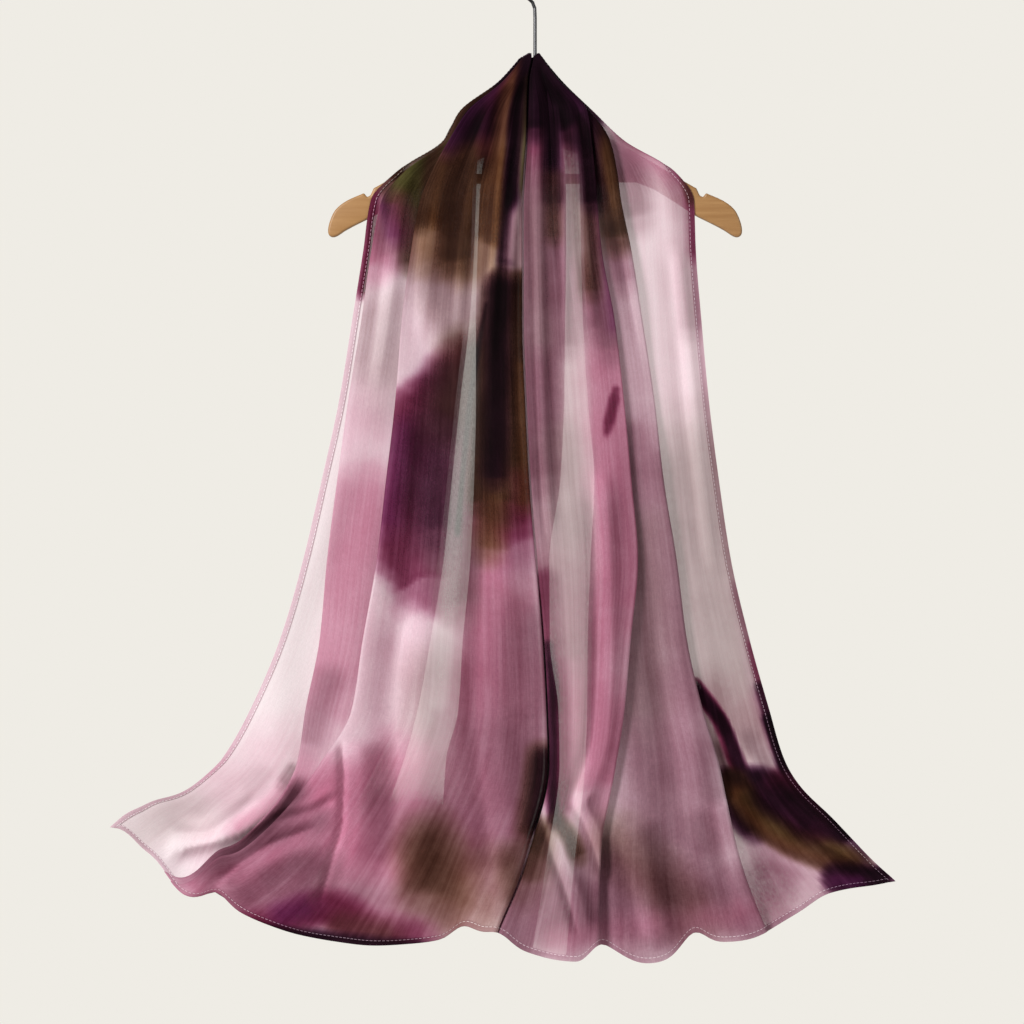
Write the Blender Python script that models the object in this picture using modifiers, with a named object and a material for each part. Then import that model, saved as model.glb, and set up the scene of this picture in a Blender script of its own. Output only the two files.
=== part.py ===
"""A cotton scarf draped over a wooden coat hanger.

The scarf is one long rectangle of voile. Its middle is gathered behind the hook's shank, and both halves come forward
over the arms, lie in lengthwise pleats and hang to a scalloped hem that sweeps forward. Metres, +Z up, front at -Y.
The origin is at the inner top of the hook, where the hanger hangs on a rod.
"""

import math

import bmesh
import bpy
from mathutils import Vector

MM = 0.001

# The cloth, in mm
WALL = 1.2  # thickness of the cloth's wall
PITCH = (  # from one folded layer to the next: tight at the collar, loose towards the hem
    # drop, pitch
    (104, 2.4), (200, 3.0), (475, 4.0), (734, 5.4), (864, 6.5), (1030, 8.0),
)
SEAT = 0.35  # clearance of anything that touches
LIE_FLAT = 1.6  # how much lower the ridges are where the cloth lies on the wood
HEM_RUN = 11.0  # the outer edge's strip, which turns over the arm higher up

# The hanger, in mm
WOOD_THICK = 14.0
WOOD_ROUND = 2.5  # rounding of the wood's edges
WIRE = 3.8  # diameter of the hook's wire
HOOK_RADIUS = 20.0  # of the wire's centre line round the rod
SHANK_FOOT = 180.0  # how far below the hook's inner top the wire ends, in the wood
BAR_DROP = 235.0
BAR_RADIUS = 5.5
BAR_SHOULDER = 84.0
TENON_RADIUS = 4.0
TENON_END = 122.0

# Heights of the cloth's sections: how far each lies below the hook's inner top
STATIONS = (
    # name, drop
    ("collar", 106),
    ("nape", 130),
    ("yoke", 162),
    ("peak", 194),
    ("slope", 227),
    ("arm", 259),
    ("chest", 313),
    ("upper", 389),
    ("waist", 475),
    ("middle", 562),
    ("lower", 648),
    ("knee", 734),
    ("flare", 810),
    ("break", 864),
)
# Past the last station the cloth runs out to its hem: halfway, then the hem itself.
# Each fold of the left half, from the outer hemmed edge inward: which layer (counted from the wood) follows it, and
# how far left of the hook it lies at each station, halfway to the hem and at the hem.
LEFT_FOLDS = (
    # name, layer after it, collar nape yoke peak slope arm chest upper waist middle lower knee flare break half hem
    ("outer_edge", 0, 17, 39, 81, 99, 149, 178, 186, 198, 212, 231, 251, 276, 308, 339, 418, 453),
    ("veil_turn", 1, 10, 25, 53, 59, 63, 64, 66, 71, 81, 90, 99, 113, 127, 142, 178, 215),
    ("first_edge", 2, 15, 35, 74, 95, 140, 166, 177, 188, 202, 214, 225, 233, 248, 256, 330, 370),
    ("hidden_turn", 3, 10.5, 26, 56, 62, 66, 68, 69, 76, 86, 95, 105, 120, 143, 168, 220, 262),
    ("second_edge", 4, 14.6, 34, 72, 93, 111, 124, 134, 144, 151, 161, 171, 186, 198, 220, 290, 330),
    ("centre_turn", 3, 3.6, 8, 9, 10, 12.5, 14, 14, 14, 11, 6.5, -0.5, -8, -12, -13.5, 10, 41),
    ("inner_gap", 2, 7.8, 21, 38, 49, 57.5, 60, 62, 64, 64, 66, 70, 78, 83, 96, 100, 98),
    ("inner_edge", 2, 5, 12, 14, 15, 17.5, 19, 19, 19, 16, 11.5, 4.5, -3, -7, -8.5, 15, 47),
)
# The right half, each fold's distance to the right of the hook
RIGHT_FOLDS = (
    # name, layer after it, collar nape yoke peak slope arm chest upper waist middle lower knee flare break half hem
    ("outer_edge", 0, 9.6, 30, 63, 97, 151, 172, 174, 180, 188, 199, 212, 232, 253, 269, 325, 383),
    ("gap_turn", 1, 4.4, 15, 37, 44, 47.5, 48.6, 49.7, 51.8, 57, 64, 60, 57, 56, 54, 42, 32),
    ("brown_edge", 2, 8.4, 28, 59, 81, 88.6, 93, 104, 116, 129, 139, 153, 164, 181, 197, 216, 246),
    ("second_turn", 3, 4.4, 17, 40, 47, 50, 52, 53, 56, 62, 67, 64, 61, 60, 58, 46, 38),
    ("magenta_edge", 4, 8, 26, 56, 61, 64.5, 67, 72, 86, 96, 104, 111, 103, 96, 87, 70, 67),
    ("centre_turn", 3, -1.8, -6.2, -7.2, -8.2, -10.7, -12.2, -12.2, -12.2, -9.2, -4.7, 2.3, 9.8, 13.8, 15.3, -8.2, -39.2),
    ("inner_gap", 2, 2.0, 11, 21, 27, 32.4, 33.5, 33.5, 32.4, 31.3, 27, 15.4, 15.8, 25, 26, 12, -4),
    ("inner_edge", 2, -4.5, -10.8, -12, -13, -15.5, -17, -17, -17, -14, -9.5, -2.5, 5, 9, 10.5, -13, -44),
)
# The hem's outline from the front: how far right of the hook, and how far below its inner top
HEM_LINE = (
    # across, drop
    (-453, 931), (-437, 935), (-421, 953), (-405, 964), (-389, 985), (-367, 1005), (-354, 1005), (-340, 998),
    (-319, 1018), (-275, 1037), (-243, 1047), (-211, 1053), (-173, 1056), (-124, 1054), (-97, 1050), (-76, 1035),
    (-59, 1043), (-41, 1042), (-16, 1061), (27, 1072), (49, 1073), (67, 1054), (92, 1067), (113, 1075), (130, 1074),
    (146, 1067), (170, 1041), (191, 1053), (211, 1052), (232, 1048), (265, 1031), (286, 1018), (308, 1002),
    (335, 996), (356, 994), (383, 988),
)
# How far the lower cloth sweeps forward as it runs out to its hem
SWEEP = (
    # drop of the section, forward
    (104, 0), (700, 0), (760, 4), (810, 12), (864, 30), (960, 66), (1080, 112),
)
# Soft lengthwise ridges (+) and hollows (-) that all layers share: where each lies under the arms and at the hem,
# its width at both, and how far it stands forward at both
RIDGES = (
    # across at arm, across at hem, width at arm, width at hem, height at arm, height at hem
    (-160, -425, 22, 26, 1.5, -8),
    (-138, -370, 22, 24, 2.5, 12),
    (-118, -335, 20, 20, -1.5, -8),
    (-92, -275, 22, 34, 3.5, 10),
    (-70, -220, 20, 28, -1.5, -7),
    (-45, -165, 20, 36, 4, 12),
    (-22, -80, 18, 24, -2, -12),
    (22, 42, 20, 28, 4, 12),
    (40, 72, 18, 18, -2, -10),
    (62, 125, 20, 30, 3.5, 12),
    (86, 172, 20, 20, -1.5, -10),
    (114, 222, 22, 30, 3.5, 10),
    (138, 268, 20, 24, -1.5, -5),
    (152, 315, 20, 24, 2, 8),
    (168, 352, 18, 18, 1, -6),
)
# The neck's gathered band runs from the left half's outer edge round behind the shank to the right half's
NECK_LEFT = ((-9, 100), (-38, 128), (-58, 144), (-79, 160), (-92, 179), (-98, 191))  # across, drop
NECK_RIGHT = ((3, 100), (24, 126), (37, 138), (54, 155), (68, 170), (81, 182))
NECK_BACK = (
    # drop, how far behind the shank
    (99, 5.5),
    (112, 11.0),
    (124, 8.5),
    (136, 14.5),
    (148, 10.5),
    (158, 15.0),
)

# The wood's outline: distance out from the hook, its top and its underside below the hook's inner top
WOOD = (
    # out, top, under
    (0, 157, 199), (20, 160, 200), (42, 168, 206), (64, 180, 216), (84, 193, 228), (108, 207, 238), (128, 218, 246),
    (148, 230, 256), (165, 240, 266), (174, 246, 270), (186, 252, 277), (200, 261, 288), (212, 268, 297),
    (220, 276, 298), (223, 285, 294),
)
NOTCH_OUT, NOTCH_HALF, NOTCH_DEEP = 180.0, 4.0, 6.0

# The hook's wire, seen from the front, below the round of the hook
HOOK_NECK = (
    # across, drop
    (-18.4, 26.0),
    (-14.6, 32.6),
    (-8.4, 38.4),
    (-2.8, 43.6),
    (-0.4, 50.0),
    (0.0, 60.0),
    (0.0, 100.0),
    (0.0, SHANK_FOOT),
)
HOOK_TIP_ANGLE = -32.0  # degrees past the level, on the right, where the wire ends

for old in list(bpy.data.objects):
    bpy.data.objects.remove(old, do_unlink=True)

parts = bpy.data.collections.new("cotton_scarf_on_hanger")
cutters = bpy.data.collections.new("cutters")
for made in (parts, cutters):
    bpy.context.scene.collection.children.link(made)


def material(name, colour, roughness, metallic=0.0):
    made = bpy.data.materials.new(name)
    made.use_nodes = True
    shader = made.node_tree.nodes["Principled BSDF"]
    shader.inputs["Base Color"].default_value = (*colour, 1.0)
    shader.inputs["Roughness"].default_value = roughness
    shader.inputs["Metallic"].default_value = metallic
    made.diffuse_color = (*colour, 1.0)
    return made


def add_object(name, data, look, collection=None):
    made = bpy.data.objects.new(name, data)
    (collection or parts).objects.link(made)
    if look is not None:
        data.materials.append(look)
    return made


def smooth_through(points, at):
    """The value at `at` of a curve through (position, value) points that never overshoots them."""
    where = [p[0] for p in points]
    value = [p[1] for p in points]
    last = len(where) - 1
    if at <= where[0]:
        return value[0]
    if at >= where[last]:
        return value[last]
    k = max(i for i in range(last) if where[i] <= at)
    run = where[k + 1] - where[k]
    slope = (value[k + 1] - value[k]) / run

    def tangent(i):
        if i in (0, last):
            j = 0 if i == 0 else last - 1
            return (value[j + 1] - value[j]) / (where[j + 1] - where[j])
        before = (value[i] - value[i - 1]) / (where[i] - where[i - 1])
        after = (value[i + 1] - value[i]) / (where[i + 1] - where[i])
        return 0.0 if before * after <= 0 else 2 * before * after / (before + after)

    t = (at - where[k]) / run
    a, b = tangent(k), tangent(k + 1)
    rise = slope * run
    return value[k] + t * (a * run + t * (3 * rise - (2 * a + b) * run + t * ((a + b) * run - 2 * rise)))


def ease(at, start, end):
    t = min(max((at - start) / (end - start), 0.0), 1.0)
    return t * t * (3 - 2 * t)


# ---------------------------------------------------------------- the cloth
LAST_DROP = STATIONS[-1][1]
ROW_DROPS = (106, 116, 127, 138, 151, 166, 184, 203, 216, 225, 234, 264, 305, 360, 425, 500, 575, 650, 725, 785, 828, 864)
ROWS_TO_HEM = (0.3, 0.55, 0.8, 1.0)
LEFT_POINTS = (10, 7, 6, 3, 10, 3, 4)  # between the folds, from the outer edge inward
RIGHT_POINTS = (11, 6, 5, 3, 11, 3, 4)
BEND_ANGLES = (-62.0, 0.0, 62.0)


def fold_at(fold, drop, run):
    """How far out the fold lies on the row at `drop`, or `run` of the way from the last station to the hem."""
    line = [(station[1], out) for station, out in zip(STATIONS, fold[2:])]
    line += [(LAST_DROP + 80, fold[-2]), (LAST_DROP + 160, fold[-1])]
    return smooth_through(line, drop + 160 * run)


def relief(across, drop, run):
    """How far the shared ridges push the cloth forward at this place."""
    down = ease(drop, 230, 800) * 0.72 + 0.28 * run
    forward = back = 0.0
    for at_arm, at_hem, wide_arm, wide_hem, high_arm, high_hem in RIDGES:
        place = at_arm + (at_hem - at_arm) * down**1.5
        wide = wide_arm + (wide_hem - wide_arm) * down
        high = high_arm * (1 - down) + high_hem * down**3
        swell = high * math.exp(-(((across - place) / wide) ** 2))
        forward, back = forward + max(swell, 0.0), back + min(swell, 0.0)
    forward = max(forward - LIE_FLAT * (1 - ease(drop, 290, 360)), 0.0)  # between ridges the cloth lies on the wood
    return forward * ease(drop, 150, 215) + back * ease(drop, 275, 345)


def cloth_point(side, out, layer, drop, run):
    """A point of the cloth in mm: `out` from the hook on that side, on the folded layer counted from the wood."""
    across = side * out
    fall = drop if run == 0 else LAST_DROP + (smooth_through(HEM_LINE, across) - layer * 1.5 - LAST_DROP) * run
    forward = smooth_through(SWEEP, LAST_DROP + 200 * run if run else drop)
    pitch = smooth_through(PITCH, LAST_DROP + 166 * run if run else drop)
    seat = 4.6 + (WOOD_THICK / 2 + SEAT + WALL / 2 - 4.6) * ease(drop, 110, 158)
    return [across, -(seat + pitch * layer + forward + relief(across, drop, run)), -fall]


def cloth_section(side, folds, counts, drop, run):
    """One row of the pleated half, from the outer edge to the inner one."""
    outs = [fold_at(f, drop, run) for f in folds]
    layers = [f[1] for f in folds]
    pitch = smooth_through(PITCH, LAST_DROP + 166 * run if run else drop)
    over_arm = 1 - ease(drop, 214, 233)  # higher up, the outer strip turns back over the wood
    row = []
    for k in range(len(folds) - 1):
        start, end = outs[k], outs[k + 1]
        way = 1 if end > start else -1
        length = abs(end - start)
        turn_in = min(pitch / 2, 0.4 * length) if k else 0.0
        turn_out = min(pitch / 2, 0.4 * length) if k < len(folds) - 2 else 0.0
        points = counts[k]
        if k == 0:
            strip = min(HEM_RUN, 0.3 * length)
            for share in (0.0, 1 / 3, 2 / 3):
                flat = cloth_point(side, start - strip * share, 0, drop, run)
                turned = cloth_point(side, start - strip * 0.12 * share**3, 0, drop, run)
                turned[1] = 4.0 + (turned[1] - 4.0) * (share * 1.22) ** 1.3
                row.append([a + (b - a) * over_arm for a, b in zip(flat, turned)])
            start -= strip * (1 - 0.6 * over_arm)
        for i in range(points):
            share = i / (points - 1)
            out = start + way * turn_in + (end - start - way * (turn_in + turn_out)) * share
            row.append(cloth_point(side, out, layers[k], drop, run))
        if k < len(folds) - 2:
            middle, half = (layers[k] + layers[k + 1]) / 2, (layers[k + 1] - layers[k]) / 2
            for degrees in BEND_ANGLES:
                angle = math.radians(degrees)
                out = end - way * turn_out + way * turn_out * math.cos(angle)
                row.append(cloth_point(side, out, middle + half * math.sin(angle), drop, run))
    return row


def sheet(name, rows, look, thickness=WALL):
    """A wall through equal rows of points in mm: a grid whose points are moved there, with Solidify."""
    across, down = len(rows[0]), len(rows)
    mesh = bpy.data.meshes.new(name)
    bm = bmesh.new()
    bmesh.ops.create_grid(bm, x_segments=across - 1, y_segments=down - 1, size=0.5)
    bm.verts.ensure_lookup_table()
    order = sorted(bm.verts, key=lambda v: (round(-v.co.y, 5), round(v.co.x, 5)))
    for vertex, point in zip(order, (p for row in rows for p in row)):
        vertex.co = Vector(point) * MM
    bm.normal_update()
    bm.to_mesh(mesh)
    bm.free()
    made = add_object(name, mesh, look)
    mesh.shade_smooth()
    wall = made.modifiers.new("cloth wall", "SOLIDIFY")
    wall.thickness = thickness * MM
    wall.offset = 0.0
    wall.use_even_offset = False
    return made


def front_half(name, side, folds, counts, look):
    rows = [cloth_section(side, folds, counts, drop, 0.0) for drop in ROW_DROPS]
    rows += [cloth_section(side, folds, counts, LAST_DROP, run) for run in ROWS_TO_HEM]
    if side > 0:
        rows = [row[::-1] for row in rows]
    return sheet(name, rows, look)


def neck_band(look):
    """The gathered middle: strips that leave the left outer edge, pass behind the shank and reach the right one."""
    rows = []
    for k in range(len(NECK_BACK) * 2 - 1):
        share = k / (len(NECK_BACK) * 2 - 2)
        place = share * (len(NECK_BACK) - 1)
        left = Vector([smooth_through(list(enumerate(p[i] for p in NECK_LEFT)), place) for i in (0, 1)])
        right = Vector([smooth_through(list(enumerate(p[i] for p in NECK_RIGHT)), place) for i in (0, 1)])
        drop = smooth_through(list(enumerate(p[0] for p in NECK_BACK)), place)
        back = smooth_through(list(enumerate(p[1] for p in NECK_BACK)), place)
        row = []
        for i in range(17):
            t = i / 16
            arch = math.sin(math.pi * t)
            middle = 4 * t * (1 - t)
            across = left.x + (right.x - left.x) * t
            fall = left.y + (right.y - left.y) * t
            fall += (drop - (left.y + right.y) / 2) * middle
            depth = 4.1 + SEAT + WALL / 2 + (back - 4.0) * arch**0.7
            row.append([across, depth, -fall])
        rows.append(row)
    return sheet("scarf_back_neck", rows, look)


# ---------------------------------------------------------------- the hanger
def notch_points():
    """The strap notch in the arm's top edge, as a round dent."""
    top = smooth_through([(w[0], w[1]) for w in WOOD], NOTCH_OUT)
    points = []
    for degrees in (180, 210, 240, 270, 300, 330, 360):
        angle = math.radians(degrees)
        points.append((NOTCH_OUT + NOTCH_HALF * math.cos(angle), top - 0.5 - NOTCH_DEEP * math.sin(angle)))
    return points


def wood_outline():
    tops = []
    for k in range(1, 23):
        out = 10.0 * k
        if abs(out - NOTCH_OUT) > NOTCH_HALF + 2:
            tops.append((out, smooth_through([(w[0], w[1]) for w in WOOD], out)))
    tops = sorted(tops + notch_points())
    unders = [(10.0 * k, smooth_through([(w[0], w[2]) for w in WOOD], 10.0 * k)) for k in range(1, 23)]
    tip = [(224.0, 284.0), (224.0, 291.0)]
    right = tops + tip + unders[::-1]
    half = [(0.0, WOOD[0][1])] + right + [(0.0, WOOD[0][2])]
    mirrored = [(-x, d) for x, d in right[::-1]]
    return half + mirrored


def mesh_from_curve(curve_object):
    """The curve's evaluated shape as a closed mesh object; the curve is removed."""
    graph = bpy.context.evaluated_depsgraph_get()
    mesh = bpy.data.meshes.new_from_object(curve_object.evaluated_get(graph))
    bm = bmesh.new()
    bm.from_mesh(mesh)
    bmesh.ops.remove_doubles(bm, verts=bm.verts, dist=0.00002)
    bmesh.ops.recalc_face_normals(bm, faces=bm.faces)
    bm.to_mesh(mesh)
    bm.free()
    name, place = curve_object.name, curve_object.matrix_world.copy()
    bpy.data.objects.remove(curve_object, do_unlink=True)
    made = bpy.data.objects.new(name, mesh)
    made.name = name
    made.matrix_world = place
    parts.objects.link(made)
    return made


def cutter(name, radius, length, location, rotation=(0.0, 0.0, 0.0)):
    mesh = bpy.data.meshes.new(name)
    bm = bmesh.new()
    bmesh.ops.create_cone(
        bm, cap_ends=True, segments=20, radius1=radius * MM, radius2=radius * MM, depth=length * MM
    )
    bm.to_mesh(mesh)
    bm.free()
    made = add_object(name, mesh, None, cutters)
    made.location = Vector(location) * MM
    made.rotation_euler = rotation
    made.hide_render = True
    made.display_type = "WIRE"
    return made


def wooden_arms(look):
    data = bpy.data.curves.new("hanger_arms", "CURVE")
    data.dimensions = "2D"
    data.fill_mode = "BOTH"
    data.extrude = (WOOD_THICK / 2 - WOOD_ROUND) * MM
    data.bevel_depth = WOOD_ROUND * MM
    data.bevel_resolution = 1
    data.offset = -WOOD_ROUND * MM
    spline = data.splines.new("POLY")
    outline = wood_outline()
    spline.points.add(len(outline) - 1)
    for point, (across, drop) in zip(spline.points, outline):
        point.co = (across * MM, -drop * MM, 0.0, 1.0)
    spline.use_cyclic_u = True
    flat = add_object("hanger_arms", data, look)
    flat.rotation_euler = (math.pi / 2, 0.0, 0.0)
    bpy.context.view_layer.update()
    arms = mesh_from_curve(flat)
    if not arms.data.materials:
        arms.data.materials.append(look)
    bore = cutter("hook_bore", WIRE / 2 + SEAT, 40, (0, 0, -(SHANK_FOOT + 1 - 20)))
    sockets = [
        cutter(
            f"bar_socket_{name}",
            TENON_RADIUS + SEAT,
            TENON_END + 1 - BAR_SHOULDER + 6,
            (side * (TENON_END + 1 + BAR_SHOULDER - 6) / 2, 0, -BAR_DROP),
            (0.0, math.pi / 2, 0.0),
        )
        for name, side in (("left", -1), ("right", 1))
    ]
    for tool in [bore, *sockets]:
        cut = arms.modifiers.new(tool.name, "BOOLEAN")
        cut.operation = "DIFFERENCE"
        cut.object = tool
    return arms


def trouser_bar(look):
    """A turned bar: its profile runs down its outer side and is screwed round, then laid level."""
    profile = (
        # radius, along from the middle
        (0.0, TENON_END),
        (TENON_RADIUS - 0.8, TENON_END),
        (TENON_RADIUS, TENON_END - 0.8),
        (TENON_RADIUS, BAR_SHOULDER),
        (BAR_RADIUS, BAR_SHOULDER - 1.5),
    )
    line = list(profile) + [(radius, -along) for radius, along in profile[::-1]]
    mesh = bpy.data.meshes.new("hanger_bar")
    bm = bmesh.new()
    points = [bm.verts.new((radius * MM, 0.0, along * MM)) for radius, along in line]
    for a, b in zip(points, points[1:]):
        bm.edges.new((a, b))
    bm.to_mesh(mesh)
    bm.free()
    bar = add_object("hanger_bar", mesh, look)
    bar.location = (0.0, 0.0, -BAR_DROP * MM)
    bar.rotation_euler = (0.0, math.pi / 2, 0.0)
    turn = bar.modifiers.new("turned", "SCREW")
    turn.axis = "Z"
    turn.angle = 2 * math.pi
    turn.steps = turn.render_steps = 16
    turn.use_merge_vertices = True
    turn.merge_threshold = 0.00005
    turn.use_smooth_shade = True
    return bar


def wire_hook(look):
    centre = HOOK_RADIUS - WIRE / 2
    points = []
    steps = 16
    for i in range(steps + 1):
        angle = math.radians(HOOK_TIP_ANGLE + (196.0 - HOOK_TIP_ANGLE) * i / steps)
        points.append((HOOK_RADIUS * math.cos(angle), centre - HOOK_RADIUS * math.sin(angle)))
    points += list(HOOK_NECK)
    data = bpy.data.curves.new("hanger_hook", "CURVE")
    data.dimensions = "3D"
    data.bevel_depth = WIRE / 2 * MM
    data.bevel_resolution = 2
    data.use_fill_caps = True
    spline = data.splines.new("POLY")
    spline.points.add(len(points) - 1)
    for point, (across, drop) in zip(spline.points, points):
        point.co = (across * MM, 0.0, -drop * MM, 1.0)
    hook = add_object("hanger_hook", data, look)
    weld = hook.modifiers.new("caps", "WELD")
    weld.merge_threshold = 0.00002
    return hook


voile = material("cotton_voile", (0.42, 0.22, 0.28), 0.9)
wood = material("lacquered_wood", (0.62, 0.36, 0.15), 0.4)
steel = material("steel_wire", (0.55, 0.55, 0.56), 0.3, 1.0)

front_half("scarf_left_front", -1, LEFT_FOLDS, LEFT_POINTS, voile)
front_half("scarf_right_front", 1, RIGHT_FOLDS, RIGHT_POINTS, voile)
neck_band(voile)
wooden_arms(wood)
trouser_bar(wood)
wire_hook(steel)
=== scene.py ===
"""The looks of a sheer cotton scarf that hangs in pleats over a wooden coat hanger.

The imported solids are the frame. Here the cloth becomes three thin sheets of voile on their solids' form,
with finer folds, hems, stitches and a soft wash of colours. Tables are in mm, seen from the front: how far
right of the hook a thing lies (across), and how far below the hook's inner top (drop).
"""

import math

import bmesh
import bpy
import numpy as np
from mathutils import Matrix, Vector


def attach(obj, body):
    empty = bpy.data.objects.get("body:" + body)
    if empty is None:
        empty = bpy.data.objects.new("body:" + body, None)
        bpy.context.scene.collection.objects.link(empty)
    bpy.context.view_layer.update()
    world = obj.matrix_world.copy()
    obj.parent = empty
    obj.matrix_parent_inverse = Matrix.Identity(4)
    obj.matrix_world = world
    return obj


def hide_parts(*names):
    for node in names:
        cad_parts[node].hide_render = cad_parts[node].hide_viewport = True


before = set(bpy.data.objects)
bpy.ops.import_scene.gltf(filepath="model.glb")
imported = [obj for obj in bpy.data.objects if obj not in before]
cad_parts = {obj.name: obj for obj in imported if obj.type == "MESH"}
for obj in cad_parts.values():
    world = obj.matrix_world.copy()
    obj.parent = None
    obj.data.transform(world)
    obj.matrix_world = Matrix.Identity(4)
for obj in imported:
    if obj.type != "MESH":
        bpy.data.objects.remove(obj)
MM = 0.001
LEFT, RIGHT = -1, 1
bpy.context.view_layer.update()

# ---------------------------------------------------------------- the cloth's sizes
WOOD_THICK = 14.0
SEAT = 0.35  # clearance of anything that touches
WALL = 1.2  # thickness of the solids' cloth wall, whose middle these sheets follow
HOOK_SEAT = 4.6  # from the hook's middle to the cloth in front of it
COMES_FORWARD = (110, 158)  # between these drops the cloth comes from the hook's seat to the wood's front
LIE_FLAT = 1.6  # how much lower the shared ridges are where the cloth lies on the wood
HEM_RUN = 11.0  # the outer edge's strip, which turns over the arm higher up
TURNS_OVER = (214, 233)  # between these drops that strip comes round from behind the arm
HEM_RISE = 0.5  # how much higher the hem is for each layer
FIRST_DROP, LAST_DROP = 105.5, 864.0
# How far the rows below the last drop go on in PITCH, SWEEP and STATIONS
PITCH_TO_HEM, SWEEP_TO_HEM, STATIONS_TO_HEM = 166, 200, 160
PITCH = ((104, 2.4), (200, 3.0), (475, 4.0), (734, 5.4), (864, 6.5), (1030, 8.0))  # drop, from layer to layer
# Drops at which each fold's place is given
STATIONS = (106, 130, 162, 194, 227, 259, 313, 389, 475, 562, 648, 734, 810, 864, 944, 1024)
# Each fold from the outer hemmed edge inward: the layer that follows it, counted from the wood, and how far
# it lies from the hook at each station, outward on its own side
LEFT_FOLDS = (
    ("outer_edge", 0, 17, 39, 81, 99, 149, 178, 186, 198, 212, 231, 251, 276, 308, 339, 418, 453),
    ("veil_turn", 1, 10, 25, 53, 59, 63, 64, 66, 71, 81, 90, 99, 113, 127, 142, 178, 215),
    ("first_edge", 2, 15, 35, 74, 95, 140, 166, 177, 188, 202, 214, 225, 233, 248, 256, 311, 394),
    ("hidden_turn", 3, 10.5, 26, 56, 62, 66, 68, 69, 76, 86, 95, 105, 120, 143, 168, 220, 262),
    ("second_edge", 4, 14.6, 34, 72, 93, 111, 124, 134, 144, 151, 161, 171, 186, 198, 230, 299, 386),
    ("centre_turn", 3, 3.6, 8, 9, 10, 12.5, 14, 14, 14, 11, 6.5, -0.5, -8, -12, -13.5, 10, 41),
    ("inner_gap", 2, 7.8, 21, 38, 49, 57.5, 60, 62, 64, 64, 66, 70, 78, 83, 96, 100, 98),
    ("inner_edge", 2, 5, 12, 14, 15, 17.5, 19, 19, 19, 16, 11.5, 4.5, -3, -7, -8.5, 15, 47),
)
RIGHT_FOLDS = (
    ("outer_edge", 0, 9.6, 30, 63, 97, 151, 172, 174, 180, 188, 199, 212, 232, 253, 269, 325, 383),
    ("gap_turn", 1, 4.4, 15, 37, 44, 47.5, 48.6, 49.7, 51.8, 57, 64, 60, 57, 56, 54, 42, 32),
    ("brown_edge", 2, 8.4, 28, 59, 81, 88.6, 93, 104, 116, 129, 139, 153, 164, 181, 197, 216, 246),
    ("second_turn", 3, 4.4, 17, 40, 47, 50, 52, 53, 56, 62, 67, 64, 61, 60, 58, 46, 38),
    ("magenta_edge", 4, 8, 26, 56, 61, 64.5, 67, 72, 86, 96, 104, 111, 103, 96, 87, 70, 67),
    ("centre_turn", 3, -1.8, -6.2, -7.2, -8.2, -10.7, -12.2, -12.2, -12.2, -9.2, -4.7, 2.3, 9.8, 13.8, 15.3,
     -8.2, -39.2),
    ("inner_gap", 2, 2.0, 11, 21, 27, 32.4, 33.5, 33.5, 32.4, 31.3, 27, 15.4, 15.8, 25, 26, 12, -4),
    ("inner_edge", 2, -4.5, -10.8, -12, -13, -15.5, -17, -17, -17, -14, -9.5, -2.5, 5, 9, 10.5, -13, -44),
)
HEM_LINE = (  # the hem's outline: across, drop
    (-453, 931), (-437, 935), (-421, 953), (-405, 964), (-389, 985), (-367, 1005), (-354, 1005), (-340, 998),
    (-319, 1018), (-275, 1037), (-243, 1047), (-211, 1053), (-173, 1056), (-124, 1054), (-97, 1050),
    (-76, 1035), (-59, 1043), (-41, 1042), (-16, 1061), (27, 1072), (49, 1073), (67, 1054), (92, 1067),
    (113, 1075), (130, 1074), (146, 1067), (170, 1041), (191, 1053), (211, 1052), (232, 1048), (265, 1031),
    (286, 1018), (308, 1002), (335, 996), (356, 994), (383, 988),
)
HEM_ROUNDING = (-8, -4, 0, 4, 8)  # the outline's corners are rounded over this far
SWEEP = ((104, 0), (700, 0), (760, 4), (810, 12), (864, 30), (960, 66), (1080, 112))  # drop, forward
RIDGES = (  # across at arm, across at hem, width at arm, width at hem, height at arm, height at hem
    (-160, -425, 22, 26, 1.5, -8), (-138, -370, 22, 24, 2.5, 12), (-118, -335, 20, 20, -1.5, -8),
    (-92, -275, 22, 34, 3.5, 10), (-70, -220, 20, 28, -1.5, -7), (-45, -165, 20, 36, 4, 12),
    (-22, -80, 18, 24, -2, -12), (22, 42, 20, 28, 4, 12), (40, 72, 18, 18, -2, -10),
    (62, 125, 20, 30, 3.5, 12), (86, 172, 20, 20, -1.5, -10), (114, 222, 22, 30, 3.5, 10),
    (138, 268, 20, 24, -1.5, -5), (152, 315, 20, 24, 2, 8), (168, 352, 18, 18, 1, -6),
)
PEAK_OUT, PEAK_DROP, PEAK_ROWS = 4.0, 98.5, 6  # where each half is drawn up to a point beside the hook
NECK_LEFT = ((-9, 104), (-38, 128), (-58, 144), (-79, 160), (-92, 179), (-98, 191))  # across, drop
NECK_RIGHT = ((3, 104), (24, 126), (37, 138), (54, 155), (68, 170), (81, 182))
NECK_BACK = ((103, 5.5), (112, 11), (124, 8.5), (136, 14.5), (148, 10.5), (158, 15))  # drop, behind the shank
NECK_ROWS, NECK_COLUMNS = 56, 90
SHANK_BACK, NECK_SEAT = 4.0, 4.1  # where the figures of NECK_BACK start from, and how far back that is

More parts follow.
